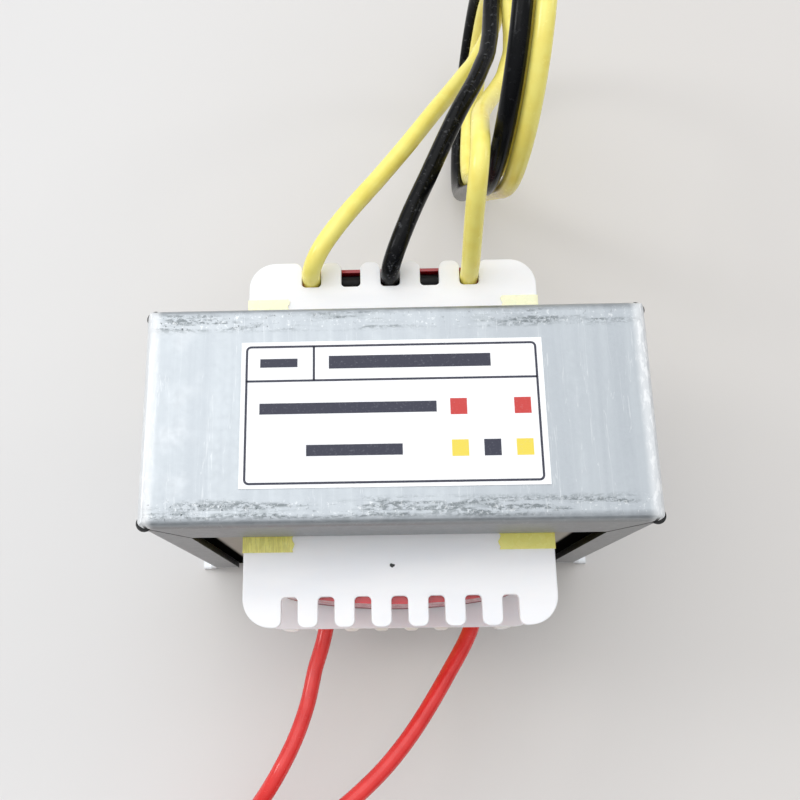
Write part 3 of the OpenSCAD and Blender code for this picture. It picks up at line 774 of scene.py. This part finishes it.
free_lead(
    "red_wire_1", RED_ROUTE_1, coil_turns(COIL_LOW, 60), PRIMARY_OD,
    RED_PVC, ["red_lead_1", "primary_coil"],
)
free_lead(
    "red_wire_2", RED_ROUTE_2, coil_turns(COIL_HIGH, 20), PRIMARY_OD,
    RED_PVC, ["red_lead_2", "primary_coil"],
)
free_lead(
    "yellow_wire_1", YELLOW_ROUTE_1, hank_lane(0, LANE_IN), SECONDARY_OD,
    YELLOW_PVC, ["yellow_lead_1", "secondary_hank"],
)
free_lead(
    "yellow_wire_2", YELLOW_ROUTE_2, hank_lane(LANE_X, LANE_OUT), SECONDARY_OD,
    YELLOW_PVC, ["yellow_lead_2", "secondary_hank"],
)
free_lead(
    "black_wire", BLACK_ROUTE, hank_lane(-LANE_X, LANE_OUT), SECONDARY_OD,
    BLACK_PVC, ["black_lead", "secondary_hank"],
)


# ---------------------------------------------------------------- ties

TIE_T = 0.4 * MM
TIE_W = 3 * MM
TIE_CORNER = 1.3 * MM
# where the ties sit on the hank and the coil, and the coil's bundle inside them
HANK_TIE_S = -14 * MM
COIL_TIE_Z = 2.9 * MM
COIL_WIDE = 7.5 * MM
COIL_TALL = 5 * MM


def tie_band(shell, place, wide, deep):
    """A flat band round a bundle, with its hole wide by deep."""
    start = len(shell.verts)
    band = bmesh.ops.create_grid(shell, x_segments=1, y_segments=1, size=0.5)["verts"]
    bmesh.ops.scale(shell, vec=(wide + 2 * TIE_T, deep + 2 * TIE_T, 1), verts=band)
    bmesh.ops.bevel(
        shell, geom=band, offset=TIE_CORNER, offset_type="OFFSET", affect="VERTICES",
        segments=5, profile=0.5, material=-1,
    )
    shell.faces.ensure_lookup_table()
    face = shell.faces[-1]
    bmesh.ops.inset_region(
        shell, faces=[face], thickness=TIE_T, use_even_offset=True, use_boundary=True,
    )
    bmesh.ops.delete(shell, geom=[face], context="FACES_ONLY")
    shell.verts.ensure_lookup_table()
    mine = set(shell.verts[start:])
    faces = [f for f in shell.faces if f.verts[0] in mine]
    grown = bmesh.ops.extrude_face_region(shell, geom=faces)["geom"]
    top = [item for item in grown if isinstance(item, bmesh.types.BMVert)]
    bmesh.ops.translate(shell, vec=(0, 0, TIE_W), verts=top)
    shell.verts.ensure_lookup_table()
    mine = shell.verts[start:]
    bmesh.ops.translate(shell, vec=(0, 0, -TIE_W / 2), verts=mine)
    bmesh.ops.transform(shell, matrix=place, verts=mine)


def make_tie(name, node, places, wide, deep):
    """The bands of one bundle, made as one piece."""
    shell = bmesh.new()
    for place in places:
        tie_band(shell, place, wide, deep)
    bmesh.ops.recalc_face_normals(shell, faces=shell.faces)
    new_piece(name, shell, TIE, [node], 35)


make_tie(
    "hank_tie", "secondary_hank_tie",
    [HANK @ Matrix.Translation((0, (LANE_OUT + LANE_IN) / 2, HANK_TIE_S))],
    2 * LANE_X + SECONDARY_OD, LANE_OUT - LANE_IN + SECONDARY_OD,
)
make_tie(
    "coil_ties", "primary_coil_tie",
    [
        Matrix.Translation(COIL_MIDDLE + Vector((0, side * COIL_RADII[1], COIL_TIE_Z)))
        @ Matrix.Rotation(math.radians(90), 4, "Y") @ Matrix.Rotation(math.radians(90), 4, "Z")
        for side in (1, -1)
    ],
    COIL_WIDE, COIL_TALL,
)


# ---------------------------------------------------------------- frame and bobbin

# edges sharper than the first are eased, facets flatter than the second are joined
SHARP_ANGLE = math.radians(40)
FLAT_ANGLE = math.radians(1)
MERGE = 0.002 * MM


def softened_copy(node, name, edge, material):
    """A CAD solid's copy, its triangles merged and its edges eased as on the real piece."""
    shell = bmesh.new()
    shell.from_mesh(nodes[node].data)
    bmesh.ops.remove_doubles(shell, verts=shell.verts, dist=MERGE)
    bmesh.ops.dissolve_limit(
        shell, angle_limit=FLAT_ANGLE, verts=shell.verts, edges=shell.edges,
    )
    corners = [
        e for e in shell.edges
        if e.is_manifold and e.calc_face_angle() > SHARP_ANGLE
    ]
    bmesh.ops.bevel(
        shell, geom=corners, offset=edge, offset_type="OFFSET", affect="EDGES", segments=2,
        profile=0.5, material=-1, clamp_overlap=True,
    )
    piece = new_piece(name, shell, material, [node])
    finish = piece.modifiers.new("even_shading", "WEIGHTED_NORMAL")
    finish.keep_sharp = True
    return piece


softened_copy("mounting_frame", "folded_frame", 0.1 * MM, STEEL)
softened_copy("bobbin", "moulded_bobbin", 0.16 * MM, NYLON)


# each corner's swollen end: its middle, its radius and wall, how far it swells and hangs
BEND_END = mm(32.5, 13.5, 54.75)
BEND_R = 1.5 * MM
BEND_WALL = 0.6 * MM
BEND_EASE = 0.05 * MM
BEND_BULGE = 0.5 * MM
BEND_TALL = 2.6 * MM
BEND_RIM = 0.2 * MM


def bend_ends():
    """The corners' metal, swollen by the fold, with its cut end open under the web."""
    shell = bmesh.new()
    across, deep, high = BEND_END
    for side, row in ((-1, -1), (1, -1), (-1, 1), (1, 1)):
        start = len(shell.verts)
        profile = [
            shell.verts.new((radius, 0, height))
            for radius, height in (
                (BEND_R - BEND_WALL, 0), (BEND_R + BEND_EASE, 0),
                (BEND_R + BEND_EASE, -BEND_RIM), (BEND_R - BEND_EASE, -BEND_TALL),
            )
        ]
        edges = [shell.edges.new((profile[k], profile[(k + 1) % 4])) for k in range(4)]
        bmesh.ops.subdivide_edges(shell, edges=edges[2:3], cuts=5)
        shell.verts.ensure_lookup_table()
        outline = shell.verts[start:]
        lines = list({edge for corner in outline for edge in corner.link_edges})
        bmesh.ops.spin(
            shell, geom=outline + lines, cent=(0, 0, 0), axis=UP, angle=math.radians(90),
            steps=16, use_merge=False, use_duplicate=False,
        )
        shell.verts.ensure_lookup_table()
        mine = shell.verts[start:]
        for corner in mine:
            turn = math.atan2(corner.co.y, corner.co.x)
            rise = max(1 + corner.co.z / BEND_TALL, 0)
            swell = BEND_BULGE * max(math.sin(2 * turn), 0) ** 0.8 * rise * rise
            if corner.co.xy.length > BEND_R - BEND_WALL / 2:
                corner.co.xy += Vector((math.cos(turn), math.sin(turn))) * swell
        bmesh.ops.scale(shell, vec=(side, row, 1), verts=mine)
        bmesh.ops.translate(shell, vec=(side * across, row * deep, high), verts=mine)
    bmesh.ops.holes_fill(shell, edges=shell.edges, sides=20)
    bmesh.ops.recalc_face_normals(shell, faces=shell.faces)
    # the cut ends facing up, under the web, take the steel painted dark as shade
    for face in shell.faces:
        face.material_index = 1 if face.normal.z > 0.8 else 0
    new_piece("bend_ends", shell, [STEEL, SHADOWED_CUT_STEEL], smooth_below=50)


bend_ends()


def dress(node, material):
    """Gives a CAD node that keeps its shape its finish."""
    piece = nodes[node]
    for slot in piece.material_slots:
        slot.material = material
    if not piece.material_slots:
        piece.data.materials.append(material)


for node in (
    "e_laminations_up", "e_laminations_down", "i_laminations_top", "i_laminations_bottom",
):
    dress(node, CORE_STEEL)
dress("primary_winding", COPPER)
dress("secondary_winding", COPPER)
dress("primary_wrap", YELLOW_FILM)
dress("secondary_wrap", RED_FILM)
dress("centre_tap_sleeve", SLEEVE)
dress("paper_label", PAPER)


# ---------------------------------------------------------------- side tapes

FLANGE_HALF_W = 21.75 * MM
BOBBIN_LOW = 11.65 * MM
BOBBIN_TOP = 44.2 * MM
TAPE_NEAR_Y = -17 * MM
TAPE_FAR_Y = 21 * MM
TAPE_T = 0.13 * MM
TOOTH_PITCH = 1.52 * MM
TOOTH_DEPTH = 0.45 * MM
# the share of a strip that stands on the side, and the size of the creases in its tabs
STANDING = 0.55
CREASE_W = 0.55 * MM
CREASE_LEN = 4 * MM


def side_tape(name, node, side, near_reach, far_reach):
    """A strip of film tape folded over the flanges, with its ends torn on a toothed blade."""
    rows, columns = 100, 84
    tall, deep = BOBBIN_TOP - BOBBIN_LOW, TAPE_FAR_Y - TAPE_NEAR_Y
    shell = bmesh.new()
    bmesh.ops.create_grid(shell, x_segments=columns, y_segments=rows, size=0.5)
    for corner in shell.verts:
        share = corner.co.x + 0.5
        blend = corner.co.y + 0.5
        y = TAPE_NEAR_Y + blend * deep
        tooth = abs((y / TOOTH_PITCH) % 1 - 0.5) * 2
        end = near_reach + (far_reach - near_reach) * blend + TOOTH_DEPTH * tooth
        half = abs(share - 0.5) * 2
        if half > STANDING:
            x = end + (FLANGE_HALF_W - end) * (1 - half) / (1 - STANDING)
            z = BOBBIN_TOP if share > 0.5 else BOBBIN_LOW
            crease = noise.noise(Vector((x / CREASE_W, y / CREASE_LEN, side * 3)))
            pucker = 0.16 if side < 0 and y < 0 else 0.05
            lift = pucker * MM * max(crease, 0)
            z += lift if share > 0.5 else -0.2 * lift
        else:
            x = FLANGE_HALF_W
            z = BOBBIN_LOW + tall * (share - (1 - STANDING) / 2) / STANDING
        corner.co = Vector((x * side, y, z))
    bmesh.ops.recalc_face_normals(shell, faces=shell.faces)
    outward = max(shell.faces, key=lambda f: abs(f.calc_center_median().x))
    if outward.normal.x * side < 0:
        bmesh.ops.reverse_faces(shell, faces=shell.faces)
    bmesh.ops.solidify(shell, geom=shell.faces, thickness=-TAPE_T)
    new_piece(name, shell, YELLOW_FILM, [node])


side_tape("left_tape", "left_side_tape", -1, 14.5 * MM, 15.5 * MM)
side_tape("right_tape", "right_side_tape", 1, 13.8 * MM, 16.2 * MM)


# ---------------------------------------------------------------- label print

INK_Z = 56.62 * MM
INK_T = 0.012 * MM
RULE_W = 0.3 * MM
RULE_CORNER = 0.7 * MM


def ink_field(shell, left, right, low, high, ink):
    """A flat printed rectangle, with edges in millimetres."""
    made = bmesh.ops.create_cube(shell, size=1)["verts"]
    size = mm(right - left, high - low, 0)
    size.z = INK_T
    bmesh.ops.scale(shell, vec=size, verts=made)
    middle = mm((left + right) / 2, (low + high) / 2, 0)
    middle.z = INK_Z + INK_T / 2
    bmesh.ops.translate(shell, vec=middle, verts=made)
    for face in {f for corner in made for f in corner.link_faces}:
        face.material_index = ink


def label_print():
    """A ruled box with bars for its wording and fields for the wires' colours."""
    navy, red, yellow = 0, 1, 2
    left, right, low, high = -20.15, 18.8, -9.7, 9.25
    shell = bmesh.new()
    frame_corners = bmesh.ops.create_grid(shell, x_segments=1, y_segments=1, size=0.5)["verts"]
    bmesh.ops.scale(shell, vec=mm(right - left, high - low, 1), verts=frame_corners)
    bmesh.ops.bevel(
        shell, geom=frame_corners, offset=RULE_CORNER, offset_type="OFFSET",
        affect="VERTICES", segments=5, profile=0.5, material=-1,
    )
    shell.faces.ensure_lookup_table()
    inside = shell.faces[0]
    bmesh.ops.inset_region(
        shell, faces=[inside], thickness=RULE_W, use_even_offset=True, use_boundary=True,
    )
    bmesh.ops.delete(shell, geom=[inside], context="FACES_ONLY")
    grown = bmesh.ops.extrude_face_region(shell, geom=shell.faces[:])["geom"]
    raised = [item for item in grown if isinstance(item, bmesh.types.BMVert)]
    bmesh.ops.translate(shell, vec=(0, 0, INK_T), verts=raised)
    middle = mm((left + right) / 2, (low + high) / 2, 0)
    middle.z = INK_Z
    bmesh.ops.translate(shell, vec=middle, verts=shell.verts)
    # the rules that part off the top row and its first field
    ink_field(shell, left + 0.15, right - 0.15, 4.15, 4.45, navy)
    ink_field(shell, -11.15, -10.85, 4.3, high - 0.15, navy)
    # bars in place of wording
    ink_field(shell, -18.2, -13.2, 6.2, 7.4, navy)
    ink_field(shell, -9, 12.6, 5.9, 7.7, navy)
    ink_field(shell, -18.2, 5.2, -0.3, 1.2, navy)
    ink_field(shell, -12, 0.6, -6, -4.5, navy)
    # the wires' colours, at the places of the notches
    ink_field(shell, 7, 9.2, -0.7, 1.5, red)
    ink_field(shell, 15.4, 17.6, -0.7, 1.5, red)
    ink_field(shell, 7, 9.2, -6.3, -4.1, yellow)
    ink_field(shell, 11.2, 13.4, -6.3, -4.1, navy)
    ink_field(shell, 15.4, 17.6, -6.3, -4.1, yellow)
    bmesh.ops.recalc_face_normals(shell, faces=shell.faces)
    new_piece("label_print", shell, [NAVY_INK, RED_INK, YELLOW_INK])


label_print()


# ---------------------------------------------------------------- studio

FLOOR_SIZE = 2.0
LAMP_AIM = mm(0, 0, 30)


def softbox(name, place, width, power):
    """A square soft lamp that looks at the part."""
    data = bpy.data.lights.new(name, "AREA")
    data.shape = "SQUARE"
    data.size = width
    data.energy = power
    lamp = bpy.data.objects.new(name, data)
    lamp.location = place
    lamp.rotation_euler = (LAMP_AIM - lamp.location).to_track_quat("-Z", "Y").to_euler()
    bpy.context.scene.collection.objects.link(lamp)


def make_studio():
    """A pale floor, an even room and three soft lamps."""
    shell = bmesh.new()
    bmesh.ops.create_grid(shell, x_segments=1, y_segments=1, size=FLOOR_SIZE)
    mesh = bpy.data.meshes.new("studio_floor")
    shell.to_mesh(mesh)
    shell.free()
    mesh.materials.append(studio_card())
    floor = bpy.data.objects.new("studio_floor", mesh)
    bpy.context.scene.collection.objects.link(floor)
    world = bpy.data.worlds.new("studio")
    world.use_nodes = True
    tree = world.node_tree
    tree.nodes.clear()
    # the room is brightest overhead, towards the far left
    sky = add(tree, "TexCoord", output="Generated")
    aloft = (sky, (-0.12, 0.3, 0.946))
    aloft = add(tree, "VectorMath", aloft, "Value", operation="DOT_PRODUCT")
    strength = add(tree, "MapRange", (aloft, -0.3, 0.95, 0.16, 1.02), **EASED)
    air = add(tree, "Background", {"Color": "#f9fafc", "Strength": strength})
    add(tree, "OutputWorld", {"Surface": air})
    bpy.context.scene.world = world
    softbox("key_softbox", Vector((-0.8, 0.85, 2.35)), 3.0, 27.6)
    softbox("left_softbox", Vector((-1.5, 0.3, 1.0)), 0.4, 4.5)
    softbox("right_softbox", Vector((1.7, 0.5, 0.9)), 0.4, 2.5)
    bpy.context.scene.view_settings.view_transform = "Standard"


make_studio()
